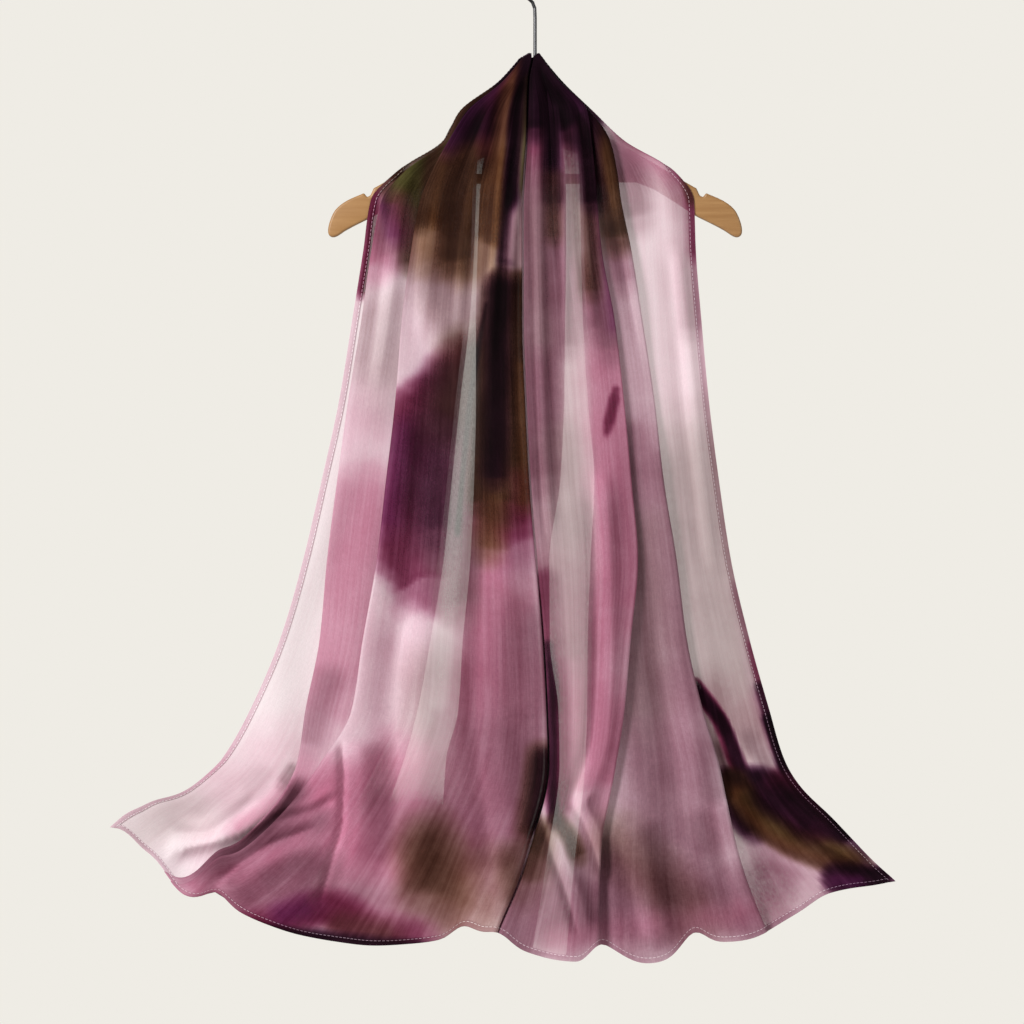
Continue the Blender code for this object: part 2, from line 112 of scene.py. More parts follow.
# ---------------------------------------------------------------- the arms' sizes
WOOD_ROUND = 2.5
WOOD = (  # the wooden arms: how far out, and the drop of their upper and lower edge
    (0, 157, 199), (20, 160, 200), (42, 168, 206), (64, 180, 216), (84, 193, 228), (108, 207, 238),
    (128, 218, 246), (148, 230, 258), (165, 240, 269), (174, 245, 275), (186, 251, 281), (200, 257, 288),
    (212, 264, 294),
)
NOSE = (  # round an arm's end: how far out, drop
    (204, 259), (211, 263.5), (217.5, 270), (222, 280), (224.5, 290), (223.5, 297), (217, 299), (206, 291.5),
)
NOTCH_OUT, NOTCH_HALF, NOTCH_DEEP, NOTCH_LIP = 180.0, 4.0, 6.0, 2.0
BORES = (  # radius, length, centre (across, drop), level or not: the hook's bore and the bar's two sockets
    (2.25, 41.0, (0.0, 160.5), False),
    (4.35, 45.0, (-100.5, 235.0), True),
    (4.35, 45.0, (100.5, 235.0), True),
)

# ---------------------------------------------------------------- finer creases, which only the sheets have
# Name, lowest layer that has it, line (across, drop), width on its left and on its right, height
LEFT_CREASES = (
    ("plum tube", 4, ((-16, 112), (-55, 146), (-86, 180), (-106, 225), (-120, 313), (-128, 430)), 12, 14, 7),
    ("plum ridge", 4, ((-12, 112), (-44, 150), (-60, 200), (-76, 300), (-86, 420)), 9, 7, 5),
    ("brown ridge", 4, ((-8, 112), (-28, 150), (-34, 205), (-41, 290), (-50, 380), (-56, 500)), 8, 8, 7),
    ("centre ridge", 4, ((-6, 170), (-20, 260), (-26, 340), (-28, 450), (-24, 600)), 7, 5, 4),
    ("shoulder", 2, ((-62, 142), (-120, 192), (-148, 262), (-160, 360), (-178, 480)), 12, 10, 5),
    ("left long", 4, ((-150, 430), (-172, 600), (-192, 740), (-206, 830)), 14, 30, 4),
    ("patch ridge", 4, ((-104, 360), (-112, 520), (-126, 680), (-146, 800)), 18, 26, 3),
    ("lower front", 4, ((-128, 700), (-140, 800), (-138, 900), (-150, 1010)), 24, 34, 9),
    ("inner front", 4, ((-40, 600), (-48, 700), (-52, 820), (-40, 930), (-30, 1020)), 20, 26, 8),
    ("knee crease", 4, ((-204, 838), (-200, 880), (-201, 925), (-212, 968), (-226, 1020)), 7, 28, 13),
    ("lip", 1, ((-228, 934), (-262, 946), (-284, 955), (-304, 967), (-324, 983), (-340, 998)), 6, 22, 9),
    ("pinch", 1, ((-288, 924), (-262, 918), (-240, 912), (-206, 892)), 6, 7, -4),
    ("roll", 0, ((-258, 872), (-272, 900), (-292, 920), (-318, 934), (-348, 943), (-376, 950), (-402, 968)),
     26, 9, 10),
    ("trough", 0, ((-300, 896), (-330, 922), (-360, 937), (-392, 934)), 10, 8, -2.5),
)
RIGHT_CREASES = (
    ("mauve ridge", 4, ((-1, 120), (0, 200), (3, 400), (10, 560), (16, 640)), 7, 8, 6),
    ("collar valley", 4, ((2, 110), (15, 140), (19, 190), (21, 260), (24, 360)), 5, 5, -4),
    ("dusty ridge", 4, ((20, 150), (29, 200), (31, 300), (32, 430)), 4, 5, 3),
    ("plum right", 4, ((6, 112), (33, 150), (46, 200), (54, 300), (62, 420)), 8, 7, 6),
    ("brown fold", 2, ((8, 112), (44, 150), (68, 190), (82, 240), (101, 330), (122, 450)), 9, 11, 7),
    ("tube", 4, ((66, 540), (72, 640), (74, 740), (70, 830), (52, 890), (36, 930)), 12, 14, 10),
    ("right long", 2, ((118, 480), (132, 620), (142, 740), (160, 860), (170, 960)), 18, 22, 7),
    ("outer long", 0, ((150, 300), (162, 420), (176, 560), (192, 680)), 12, 10, 4),
    ("first scallop a", 4, ((8, 905), (20, 950), (38, 1000), (52, 1050)), 8, 12, 8),
    ("first scallop b", 4, ((44, 900), (62, 940), (76, 985)), 8, 10, 7),
    ("second scallop", 1, ((95, 930), (112, 990), (128, 1060)), 20, 22, 9),
    ("third scallop", 0, ((196, 900), (214, 960), (226, 1030)), 22, 22, 9),
    ("golden band", 0, ((200, 830), (232, 880), (280, 925), (330, 955), (368, 975)), 10, 18, 12),
)


def smooth_through(points, at):
    """The value at `at` of a curve through (position, value) points that never overshoots them."""
    where = np.array([p[0] for p in points], float)
    value = np.array([p[1] for p in points], float)
    at = np.clip(np.asarray(at, float), where[0], where[-1])
    step = np.diff(where)
    slope = np.diff(value) / step
    tangent = np.zeros_like(value)
    tangent[0], tangent[-1] = slope[0], slope[-1]
    before, after = slope[:-1], slope[1:]
    same = before * after > 0
    tangent[1:-1] = np.where(same, 2 * before * after / np.where(same, before + after, 1), 0)
    k = np.clip(np.searchsorted(where, at, side="right") - 1, 0, len(where) - 2)
    run = step[k]
    t = (at - where[k]) / run
    a, b, rise = tangent[k], tangent[k + 1], slope[k] * run
    return value[k] + t * (a * run + t * (3 * rise - (2 * a + b) * run + t * ((a + b) * run - 2 * rise)))


def ease(at, start, end):
    """0 before the start, 1 after the end, and a soft step between them."""
    t = np.clip((np.asarray(at, float) - start) / (end - start), 0.0, 1.0)
    return t * t * (3 - 2 * t)


# ---------------------------------------------------------------- the fronts' form
ROWS_DOWN, ROWS_OUT = 226, 56  # rows to the last station, and from there to the hem
DROP = np.concatenate([np.linspace(FIRST_DROP, LAST_DROP, ROWS_DOWN), np.full(ROWS_OUT, LAST_DROP)])
RUN = np.concatenate([np.zeros(ROWS_DOWN), np.linspace(0, 1, ROWS_OUT + 1)[1:]])
REACH = DROP + STATIONS_TO_HEM * RUN  # where a row lies among the stations
LEFT_POINTS = (52, 34, 30, 12, 100, 14, 14)  # between the folds, from the outer edge inward
RIGHT_POINTS = (62, 32, 44, 12, 84, 14, 14)
HEM_POINTS = 6
HALF_RUN = 0.4  # a fold's bend takes no more of a layer's width than this
BEND_ANGLES = np.radians(np.linspace(-72, 72, 7))
EDGE_BACK, EDGE_STRIP = 4.0, 0.3  # behind the wood's middle, and the strip's most of the first layer
RIDGES_SPREAD, SPREAD_ABOVE = (230, 800), 0.72  # between these drops, and the share of it above the last drop
RIDGES_START, TROUGHS_START, OFF_WOOD = (150, 215), (275, 345), (290, 360)  # drops
CREASE_START, CREASE_END = (0, 0.12), (0.82, 1)  # shares of a crease's line
FAR_OFF = 5  # times a crease's width, where nothing is left of it
FOLD_SHADING_HIGH, FOLD_SHADING_WIDE = 7, 11  # the height of a crease whose flanks get the full painted shade, and its greatest width for it


def relief(across, drop, run):
    """How far the shared ridges push the cloth forward at this place."""
    down = ease(drop, *RIDGES_SPREAD) * SPREAD_ABOVE + (1 - SPREAD_ABOVE) * run
    forward = back = 0.0
    for at_arm, at_hem, wide_arm, wide_hem, high_arm, high_hem in RIDGES:
        place = at_arm + (at_hem - at_arm) * down**1.5
        wide = wide_arm + (wide_hem - wide_arm) * down
        high = high_arm * (1 - down) + high_hem * down**3
        swell = high * np.exp(-(((across - place) / wide) ** 2))
        forward, back = forward + np.maximum(swell, 0.0), back + np.minimum(swell, 0.0)
    forward = np.maximum(forward - LIE_FLAT * (1 - ease(drop, *OFF_WOOD)), 0.0)
    return forward * ease(drop, *RIDGES_START) + back * ease(drop, *TROUGHS_START)


def beside_line(line, across, drop, wide):
    """How far each place lies from the line (minus on its left), and how far along it, 0 to 1.

    Only places nearer than `wide` to the line's box are worked out. The rest count as far away.
    """
    corners = np.array(line, float)
    place = np.linspace(0, 1, len(line))
    fine = np.linspace(0, 1, 5 * len(line))
    path = np.stack([smooth_through(list(zip(place, corners[:, i])), fine) for i in (0, 1)], axis=1)
    low, high = corners.min(axis=0) - wide, corners.max(axis=0) + wide
    close = (across > low[0]) & (across < high[0]) & (drop > low[1]) & (drop < high[1])
    at, down = across[close], drop[close]
    nearest, signed, share = np.full(at.shape, 1e9), np.zeros(at.shape), np.zeros(at.shape)
    for k in range(len(path) - 1):
        (x, y), (dx, dy) = path[k], path[k + 1] - path[k]
        t = np.clip(((at - x) * dx + (down - y) * dy) / (dx * dx + dy * dy), 0, 1)
        off_x, off_y = at - x - t * dx, down - y - t * dy
        far = np.hypot(off_x, off_y)
        closer = far < nearest
        nearest = np.where(closer, far, nearest)
        signed = np.where(closer, far * np.sign(off_x * dy - off_y * dx), signed)
        share = np.where(closer, (k + t) / (len(path) - 1), share)
    all_signed, all_share = np.full(across.shape, 1e9), np.zeros(across.shape)
    all_signed[close], all_share[close] = signed, share
    return all_signed, all_share


def creases(side, across, drop, layer):
    """How far this half's own creases push the cloth forward, and how much shade is painted beside them and
    highlight on their tops.
    """
    forward, fold_shading = np.zeros_like(across), np.zeros_like(across)
    for _, lowest, line, wide_left, wide_right, high in LEFT_CREASES if side == LEFT else RIGHT_CREASES:
        signed, share = beside_line(line, across, drop, 3 * max(wide_left, wide_right))
        wide = np.where(signed < 0, wide_left, wide_right)
        far = np.minimum(np.abs(signed) / wide, FAR_OFF)
        fade = ease(share, *CREASE_START) * (1 - ease(share, *CREASE_END)) * ease(layer, lowest - 1, lowest)
        swell = fade * high * np.exp(-(far**2))
        forward += swell
        # painted shade on a crease's flanks, and painted highlight (below zero) on its top
        fold_shading += swell / FOLD_SHADING_HIGH * np.minimum(1, FOLD_SHADING_WIDE / wide) * (4 * far**2 - 1.6)
    return forward, fold_shading


def cloth_points(side, out, layer):
    """The cloth in mm at `out` from the hook on that side, on the folded layer counted from the wood."""
    drop, run = DROP[:, None], RUN[:, None]
    across = side * out
    layer = layer + 0 * out
    bottom = sum(smooth_through(HEM_LINE, across + shift) for shift in HEM_ROUNDING) / len(HEM_ROUNDING)
    fall = np.where(run == 0, drop, LAST_DROP + (bottom - layer * HEM_RISE - LAST_DROP) * run)
    forward = smooth_through(SWEEP, drop + SWEEP_TO_HEM * run)
    pitch = smooth_through(PITCH, drop + PITCH_TO_HEM * run)
    seat = HOOK_SEAT + (WOOD_THICK / 2 + SEAT + WALL / 2 - HOOK_SEAT) * ease(drop, *COMES_FORWARD)
    raised, fold_shading = creases(side, across, fall, layer)
    forward = forward + relief(across, drop, run) + raised
    return np.stack([across, -(seat + pitch * layer + forward), -fall], axis=2), fold_shading


def drawn_up(side, first, fold_shading):
    """Rows above the first one, which draw the cloth together to a point beside the hook."""
    share = np.linspace(0.15, 1, PEAK_ROWS, endpoint=False)[:, None, None]
    peak = np.array([side * PEAK_OUT, first[:, 1].mean(), -PEAK_DROP])
    return peak + (first - peak) * share, np.broadcast_to(fold_shading, (PEAK_ROWS, len(fold_shading)))


def layer_columns(outs, layers, counts, edge):
    """How far out each column runs, and its layer. The first layer starts `edge` short of its fold."""
    half_pitch = smooth_through(PITCH, DROP + PITCH_TO_HEM * RUN) / 2
    columns, depth = [], []
    for k, count in enumerate(counts):
        start, end = outs[k], outs[k + 1]
        way = np.where(end > start, 1.0, -1.0)
        bend = np.minimum(half_pitch, HALF_RUN * np.abs(end - start))
        folds_on = k < len(counts) - 1
        turn_in = bend if k else 0.0
        turn_out = bend if folds_on else 0.0
        if k == 0:
            start = start - edge
        for share in np.linspace(0, 1, count):
            columns.append(start + way * turn_in + (end - start - way * (turn_in + turn_out)) * share)
            depth.append(float(layers[k]))
        if folds_on:
            middle, half = (layers[k] + layers[k + 1]) / 2, (layers[k + 1] - layers[k]) / 2
            for angle in BEND_ANGLES:
                columns.append(end - way * turn_out + way * turn_out * math.cos(angle))
                depth.append(middle + half * math.sin(angle))
    return np.stack(columns, axis=1), np.array(depth)


def edge_strip(side, outer, strip, over_arm):
    """The strip along the outer edge: part of the first layer, but turned behind the arm higher up."""
    shares = np.linspace(0, 0.8, HEM_POINTS)
    outer, strip = outer[:, None], strip[:, None]
    flat, fold_shading = cloth_points(side, outer - strip * shares, 0.0)
    turned, _ = cloth_points(side, outer - strip * 0.12 * shares**3, 0.0)
    turned[..., 1] = EDGE_BACK + (turned[..., 1] - EDGE_BACK) * (shares * 1.22) ** 1.3
    return flat + (turned - flat) * over_arm[:, None, None], fold_shading


def front_points(side, folds, counts):
    """The pleated half in columns from the outer edge to the inner one: points, columns' layers, painted fold
    shading.
    """
    outs = [smooth_through(list(zip(STATIONS, fold[2:])), REACH) for fold in folds]
    over_arm = 1 - ease(DROP, *TURNS_OVER)
    strip = np.minimum(HEM_RUN, EDGE_STRIP * np.abs(outs[1] - outs[0]))
    columns, depth = layer_columns(outs, [fold[1] for fold in folds], counts, strip * (1 - 0.6 * over_arm))
    points, fold_shading = cloth_points(side, columns, depth[None, :])
    edge, edge_fold_shading = edge_strip(side, outs[0], strip, over_arm)
    points = np.concatenate([edge, points], axis=1)
    fold_shading = np.concatenate([edge_fold_shading, fold_shading], axis=1)
    above, above_fold_shading = drawn_up(side, points[0], fold_shading[0])
    points, fold_shading = np.concatenate([above, points]), np.concatenate([above_fold_shading, fold_shading])
    return points, np.concatenate([np.zeros(HEM_POINTS), depth]), fold_shading


# ---------------------------------------------------------------- dyes, washes and painted fold shade
GROUND = (0.84, 0.69, 0.74)
DYES = {
    "blush": (0.66, 0.36, 0.46),
    "rose": (0.46, 0.14, 0.23),
    "mauve": (0.20, 0.075, 0.11),
    "ash": (0.26, 0.155, 0.165),
    "wine": (0.11, 0.012, 0.036),
    "violet": (0.095, 0.012, 0.080),
    "plum": (0.006, 0.0009, 0.0035),
    "brown": (0.085, 0.030, 0.012),
    "umber": (0.030, 0.011, 0.006),
    "olive": (0.045, 0.038, 0.010),
}
# Washes, later ones on top: dye, lowest and highest layer that has it, line (across, drop), half width,
# softness, strength
LEFT_WASHES = (
    # outer layer
    ("blush", 0, 0, ((-255, 860), (-345, 930)), 38, 0.8, 0.7),
    ("ash", 0, 0, ((-370, 925), (-430, 935)), 26, 0.8, 0.22),
    # painted shade: the rose and mauve along the roll's lower edge on the outer layer darken the roll's
    # underside
    ("rose", 0, 0, ((-262, 886), (-286, 914), (-322, 936)), 9, 0.9, 0.5),
    ("mauve", 0, 0, ((-261, 874), (-271, 888)), 7, 0.6, 0.65),
    ("rose", 0, 2, ((-168, 225), (-172, 330)), 22, 0.6, 0.7),
    ("mauve", 0, 1, ((-166, 235), (-168, 305)), 14, 0.9, 0.5),
    ("wine", 0, 0, ((-175, 240), (-178, 300), (-187, 360)), 6, 0.7, 0.9),
    # middle layers
    ("blush", 1, 3, ((-195, 500), (-195, 540)), 44, 0.9, 0.5),
    ("rose", 1, 3, ((-190, 600), (-215, 720), (-240, 820)), 46, 0.6, 0.55),
    ("rose", 1, 3, ((-190, 600), (-200, 650)), 24, 0.9, 0.3),
    ("mauve", 1, 3, ((-222, 780), (-244, 850)), 14, 0.9, 0.45),
    ("ash", 1, 3, ((-175, 400), (-165, 460)), 34, 0.9, 0.3),
    ("rose", 1, 4, ((-165, 268), (-152, 318)), 20, 0.6, 0.85),
    ("umber", 1, 3, ((-136, 250), (-130, 330)), 15, 0.6, 0.7),
    ("violet", 1, 3, ((-164, 225), (-152, 300)), 9, 0.7, 0.95),
    ("olive", 1, 3, ((-92, 170), (-134, 230), (-134, 262)), 26, 0.5, 0.9),
    ("umber", 1, 3, ((-66, 150), (-108, 205), (-122, 320)), 8, 0.8, 0.9),
    ("mauve", 1, 4, ((-160, 288), (-154, 320)), 14, 0.9, 0.7),
    ("wine", 1, 3, ((-146, 262), (-140, 300)), 12, 0.9, 0.5),
    # front layer
    ("blush", 4, 4, ((-130, 350), (-150, 640)), 60, 0.5, 0.2),
    ("blush", 4, 4, ((-130, 760), (-140, 860)), 60, 0.8, 0.4),
    ("ash", 4, 4, ((-110, 780), (-124, 900)), 30, 1.0, 0.5),
    ("rose", 3, 4, ((-210, 920), (-330, 1000)), 60, 0.6, 0.75),
    ("rose", 3, 4, ((-150, 900), (-150, 1000)), 56, 0.7, 0.75),
    ("rose", 2, 4, ((-45, 700), (-40, 960)), 46, 0.6, 0.85),
    ("mauve", 2, 4, ((-20, 730), (-44, 860)), 40, 0.9, 0.45),
    ("mauve", 2, 4, ((-30, 870), (-50, 990)), 38, 0.9, 0.6),
    ("mauve", 3, 4, ((-320, 1010), (-150, 1020)), 30, 0.8, 0.5),
    ("rose", 1, 4, ((-262, 905), (-300, 945), (-346, 962), (-385, 978)), 36, 0.8, 0.75),
    # painted shade: this mauve darkens the hollow just under the roll's edge
    ("mauve", 1, 4, ((-258, 900), (-275, 928), (-300, 947), (-330, 962), (-368, 976)), 14, 0.9, 0.8),
    ("mauve", 2, 4, ((-232, 925), (-290, 940)), 12, 1.0, 0.55),
    ("mauve", 2, 4, ((-258, 970), (-290, 992)), 18, 1.0, 0.55),
    ("mauve", 3, 4, ((-222, 975), (-240, 1010)), 16, 1.0, 0.55),
    ("ash", 4, 4, ((-95, 350), (-70, 420)), 30, 0.7, 0.75),
    ("ash", 4, 4, ((-84, 480), (-82, 700)), 18, 0.9, 0.75),
    ("wine", 3, 4, ((-124, 498), (-132, 600), (-114, 672)), 44, 0.35, 0.76),
    ("wine", 3, 4, ((-50, 428), (-92, 455), (-128, 494)), 26, 0.7, 0.8),
    ("mauve", 3, 4, ((-80, 480), (-92, 668)), 34, 0.6, 0.85),
    ("umber", 3, 4, ((-56, 430), (-58, 585)), 15, 0.5, 0.9),
    ("violet", 4, 4, ((-142, 510), (-160, 610)), 15, 0.9, 0.35),
    ("plum", 3, 4, ((-96, 465), (-112, 550), (-104, 615)), 26, 0.9, 0.35),
    ("umber", 3, 4, ((-70, 425), (-100, 500)), 24, 0.9, 0.55),
    ("plum", 0, 4, ((-52, 372), (-70, 475), (-84, 620)), 2.2, 1.0, 0.9),
    ("wine", 2, 4, ((-34, 600), (-22, 636)), 26, 0.9, 0.7),
    ("umber", 2, 4, ((-28, 362), (-28, 470), (-32, 585)), 26, 0.5, 0.97),
    ("wine", 2, 4, ((-16, 560), (-16, 612)), 12, 1.0, 0.6),
    ("umber", 2, 4, ((-16, 346), (-36, 346)), 14, 0.4, 0.97),
    ("brown", 2, 4, ((-44, 560), (-50, 640)), 14, 1.0, 0.7),
    ("plum", 2, 4, ((-38, 350), (-42, 500), (-46, 560)), 12, 0.9, 0.8),
    ("brown", 2, 4, ((-12, 440), (-13, 590)), 8, 1.0, 0.7),
    ("mauve", 2, 4, ((8, 720), (6, 800), (0, 900)), 16, 1.0, 0.5),
    # painted shadow: umber and plum here darken the deep valley between the halves
    ("umber", 2, 4, ((8, 860), (2, 900), (-6, 945)), 13, 1.0, 0.85),
    ("plum", 2, 4, ((9, 860), (4, 905), (0, 935)), 9, 1.0, 0.6),
    ("plum", 0, 2, ((-6, 92), (-34, 125), (-62, 152)), 26, 0.4, 0.99),
    ("umber", 0, 1, ((-60, 140), (-88, 172), (-104, 192), (-142, 208), (-156, 236)), 17, 0.5, 0.95),
    ("plum", 3, 4, ((-6, 92), (-60, 150), (-86, 205)), 46, 0.3, 0.99),
    ("brown", 3, 4, ((-120, 230), (-112, 300)), 36, 0.5, 0.95),
    ("brown", 3, 4, ((-60, 230), (-66, 306)), 36, 0.5, 0.95),
    ("umber", 3, 4, ((-100, 220), (-70, 260)), 30, 0.9, 0.5),
    ("umber", 4, 4, ((-60, 215), (-88, 265), (-84, 325)), 16, 0.7, 0.85),
    ("umber", 4, 4, ((-112, 215), (-124, 290)), 8, 0.8, 0.8),
    ("violet", 4, 4, ((-30, 125), (-72, 165), (-98, 205)), 11, 0.8, 0.45),
    ("wine", 4, 4, ((-20, 120), (-48, 160), (-54, 215)), 9, 0.8, 0.35),
    ("brown", 4, 4, ((-8, 106), (-32, 150), (-38, 200), (-44, 300)), 9, 0.7, 0.85),
    ("plum", 2, 4, ((-6, 100), (-17, 165), (-22, 215), (-32, 330)), 8, 0.7, 0.97),
    ("olive", 2, 4, ((-6, 130), (-10, 200), (-10, 250)), 7, 0.9, 0.7),
    ("blush", 3, 4, ((-18, 280), (-24, 325)), 13, 0.7, 0.85),
    ("ash", 3, 4, ((-14, 275), (-26, 335)), 13, 0.7, 0.6),
    ("mauve", 3, 4, ((-130, 930), (-104, 1010)), 36, 1.0, 0.7),
    ("brown", 4, 4, ((-104, 975), (-60, 1010)), 34, 1.0, 0.45),
    ("umber", 3, 4, ((-112, 945), (-116, 1010)), 25, 1.0, 0.55),
    ("umber", 4, 4, ((-24, 970), (-12, 1010)), 16, 1.0, 0.45),
    ("wine", 3, 4, ((-300, 1036), (-262, 1028), (-222, 1014), (-190, 1032)), 18, 0.6, 0.9),
    ("wine", 3, 4, ((-190, 1036), (-120, 1046)), 14, 0.9, 0.65),
    ("umber", 4, 4, ((-205, 1034), (-150, 1046)), 12, 1.0, 0.4),
    ("violet", 4, 4, ((-268, 1022), (-236, 1014)), 12, 1.0, 0.45),
    ("plum", 3, 4, ((-330, 1034), (-230, 1050), (-120, 1060)), 9, 0.7, 0.85),
)
RIGHT_WASHES = (
    # front layer
    ("blush", 4, 4, ((60, 250), (70, 900)), 60, 0.5, 0.5),
    ("ash", 4, 4, ((40, 400), (36, 640)), 30, 1.0, 0.3),
    ("rose", 3, 4, ((85, 300), (96, 700)), 34, 0.6, 0.7),
    ("rose", 3, 4, ((40, 700), (56, 900)), 50, 0.6, 0.75),
    ("mauve", 3, 4, ((4, 190), (4, 300), (6, 560)), 22, 0.5, 0.9),
    ("ash", 3, 4, ((3, 180), (4, 420)), 14, 0.9, 0.5),
    ("mauve", 4, 4, ((4, 560), (12, 700)), 16, 0.9, 0.5),
    ("wine", 2, 4, ((14, 670), (22, 760), (26, 920)), 11, 0.8, 0.75),
    ("plum", 2, 4, ((14, 740), (19, 800), (19, 930)), 5, 0.9, 0.6),
    ("mauve", 4, 4, ((30, 200), (36, 420)), 12, 0.8, 0.55),
    ("mauve", 3, 4, ((62, 200), (84, 420)), 17, 0.7, 0.75),
    ("mauve", 4, 4, ((64, 680), (70, 860)), 14, 1.0, 0.2),
    ("violet", 4, 4, ((72, 250), (84, 400)), 7, 1.0, 0.25),
    ("mauve", 3, 4, ((50, 180), (55, 290), (64, 400)), 12, 0.9, 0.7),
    ("umber", 3, 4, ((51, 180), (55, 280), (60, 360)), 10, 1.0, 0.5),
    ("wine", 3, 4, ((38, 180), (41, 226)), 9, 0.9, 0.5),
    ("ash", 4, 4, ((46, 200), (46, 320)), 12, 0.8, 0.6),
    ("ash", 4, 4, ((30, 520), (36, 760)), 24, 0.8, 0.5),
    ("wine", 2, 3, ((10, 690), (14, 940)), 11, 0.6, 0.9),
    ("plum", 2, 3, ((6, 760), (8, 930)), 9, 0.8, 0.8),
    ("wine", 4, 4, ((87, 464), (77, 512)), 3.6, 0.9, 0.75),
    ("wine", 4, 4, ((85, 474), (79.5, 502)), 5.6, 0.6, 0.8),
    # painted shadow: this umber darkens the right half where the left half hangs over it
    ("umber", 3, 4, ((-12, 950), (-12, 990)), 24, 0.8, 0.95),
    ("mauve", 3, 4, ((2, 180), (4, 250)), 15, 0.8, 0.75),
    ("wine", 3, 4, ((2, 180), (3, 215)), 12, 1.0, 0.5),
    ("plum", 2, 4, ((0, 105), (1, 150), (2, 184)), 14, 0.8, 0.97),
    # middle layer
    ("mauve", 1, 2, ((96, 300), (110, 560)), 30, 0.8, 0.3),
    ("mauve", 1, 2, ((112, 560), (150, 960)), 56, 0.5, 0.65),
    ("ash", 1, 2, ((112, 620), (120, 820)), 26, 0.9, 0.5),
    ("mauve", 1, 2, ((86, 280), (94, 350)), 13, 1.0, 0.6),
    ("umber", 1, 2, ((40, 120), (76, 190), (90, 300)), 18, 0.7, 0.93),
    ("brown", 1, 2, ((62, 165), (78, 215), (84, 270)), 9, 0.9, 0.6),
    ("mauve", 1, 1, ((150, 880), (168, 950)), 28, 1.0, 0.5),
    # outer layers
    ("blush", 0, 0, ((140, 200), (200, 720)), 56, 0.9, 0.45),
    ("ash", 0, 0, ((180, 560), (220, 860)), 64, 0.8, 0.72),
    ("mauve", 0, 1, ((98, 190), (110, 280)), 17, 0.8, 0.85),
    ("rose", 0, 0, ((120, 195), (165, 230)), 22, 0.6, 0.6),
    ("mauve", 0, 0, ((154, 232), (164, 300), (168, 400)), 12, 0.9, 0.45),
    ("wine", 0, 0, ((158, 228), (169, 248), (172, 320)), 7, 0.9, 0.65),
    ("umber", 0, 0, ((163, 236), (171, 262)), 5, 0.8, 0.5),
    ("ash", 0, 0, ((200, 860), (215, 930)), 22, 0.6, 0.8),
    ("plum", 0, 1, ((206, 890), (238, 935)), 15, 0.6, 0.9),
    ("wine", 0, 0, ((172, 782), (200, 822), (214, 862), (236, 910)), 8, 0.3, 0.97),
    ("plum", 0, 0, ((174, 786), (203, 826), (218, 866), (240, 915)), 6, 0.5, 0.8),
    ("plum", 0, 0, ((236, 895), (290, 925), (330, 958)), 27, 0.3, 0.97),
    ("violet", 0, 0, ((256, 905), (290, 925)), 14, 0.9, 0.5),
    ("umber", 0, 0, ((214, 890), (262, 940), (345, 975)), 17, 0.4, 0.9),
    ("brown", 0, 0, ((220, 900), (262, 942), (335, 970)), 11, 0.7, 0.95),
    ("olive", 0, 0, ((228, 902), (270, 940), (330, 962)), 8, 1.0, 0.35),
    ("mauve", 0, 0, ((222, 680), (246, 800), (262, 850)), 9, 0.9, 0.6),
    ("wine", 0, 0, ((236, 740), (262, 850)), 6, 0.9, 0.6),
    ("plum", 0, 0, ((243, 785), (256, 830), (262, 850)), 5, 0.9, 0.6),
    ("plum", 0, 0, ((252, 820), (260, 845), (273, 884), (300, 916)), 6, 0.6, 0.95),
    ("wine", 0, 0, ((262, 892), (284, 908), (300, 930)), 18, 0.6, 0.9),
    ("plum", 0, 0, ((256, 900), (282, 912), (300, 932)), 16, 0.8, 0.8),
    ("plum", 0, 0, ((320, 985), (378, 986)), 14, 0.5, 0.9),
    ("violet", 0, 0, ((318, 988), (350, 990)), 8, 0.8, 0.7),
    # hem and collar
    ("mauve", 0, 4, ((-30, 1030), (90, 1010), (280, 1010)), 50, 0.7, 0.75),
    ("umber", 0, 4, ((84, 950), (130, 985), (178, 1030)), 24, 1.0, 0.25),
    ("umber", 1, 4, ((22, 925), (38, 945), (46, 964)), 8, 0.8, 0.6),
    ("rose", 0, 4, ((20, 1050), (150, 1030), (250, 1020)), 14, 1.0, 0.4),
    ("plum", 0, 4, ((0, 92), (22, 124), (54, 160)), 22, 0.4, 0.99),
    ("plum", 1, 4, ((0, 96), (22, 130), (50, 175)), 32, 0.3, 0.99),
    ("plum", 2, 4, ((54, 170), (58, 225), (64, 262)), 11, 0.9, 0.8),
    ("plum", 3, 4, ((16, 120), (19, 230), (20, 262)), 8, 0.9, 0.97),
    ("mauve", 3, 4, ((19, 235), (20, 380)), 9, 1.0, 0.6),
    ("umber", 3, 4, ((19, 235), (20, 300)), 8, 1.0, 0.5),
    ("violet", 4, 4, ((30, 118), (52, 165)), 9, 0.9, 0.35),
)
# Where the cloth lies double: line (across, drop), half width, how much less light comes through there
# (minus where it is stretched thin)
LEFT_DOUBLED = (
    (((-340, 1030), (-150, 1045), (-60, 990)), 40, 0.14),
    (((-20, 350), (-24, 600)), 20, 0.06),
    (((-68, 400), (-72, 475), (-83, 583), (-92, 680), (-104, 800)), 9, -0.15),
    (((-152, 965), (-150, 1010)), 56, 0.28),
    (((-114, 950), (-116, 1020)), 40, 0.3),
    (((-266, 912), (-306, 948), (-388, 976)), 26, 0.16),
)
RIGHT_DOUBLED = (
    (((190, 815), (240, 920), (300, 950), (370, 985)), 40, 0.24),
    (((250, 815), (262, 855), (280, 890), (305, 920)), 24, 0.26),
    (((-30, 1010), (280, 1020)), 46, 0.12),
)
PAINTED_FOLD_SHADE = (0.50, 0.62, 0.58)  # painted shade: what full shade beside a crease takes of each colour, as an exponent
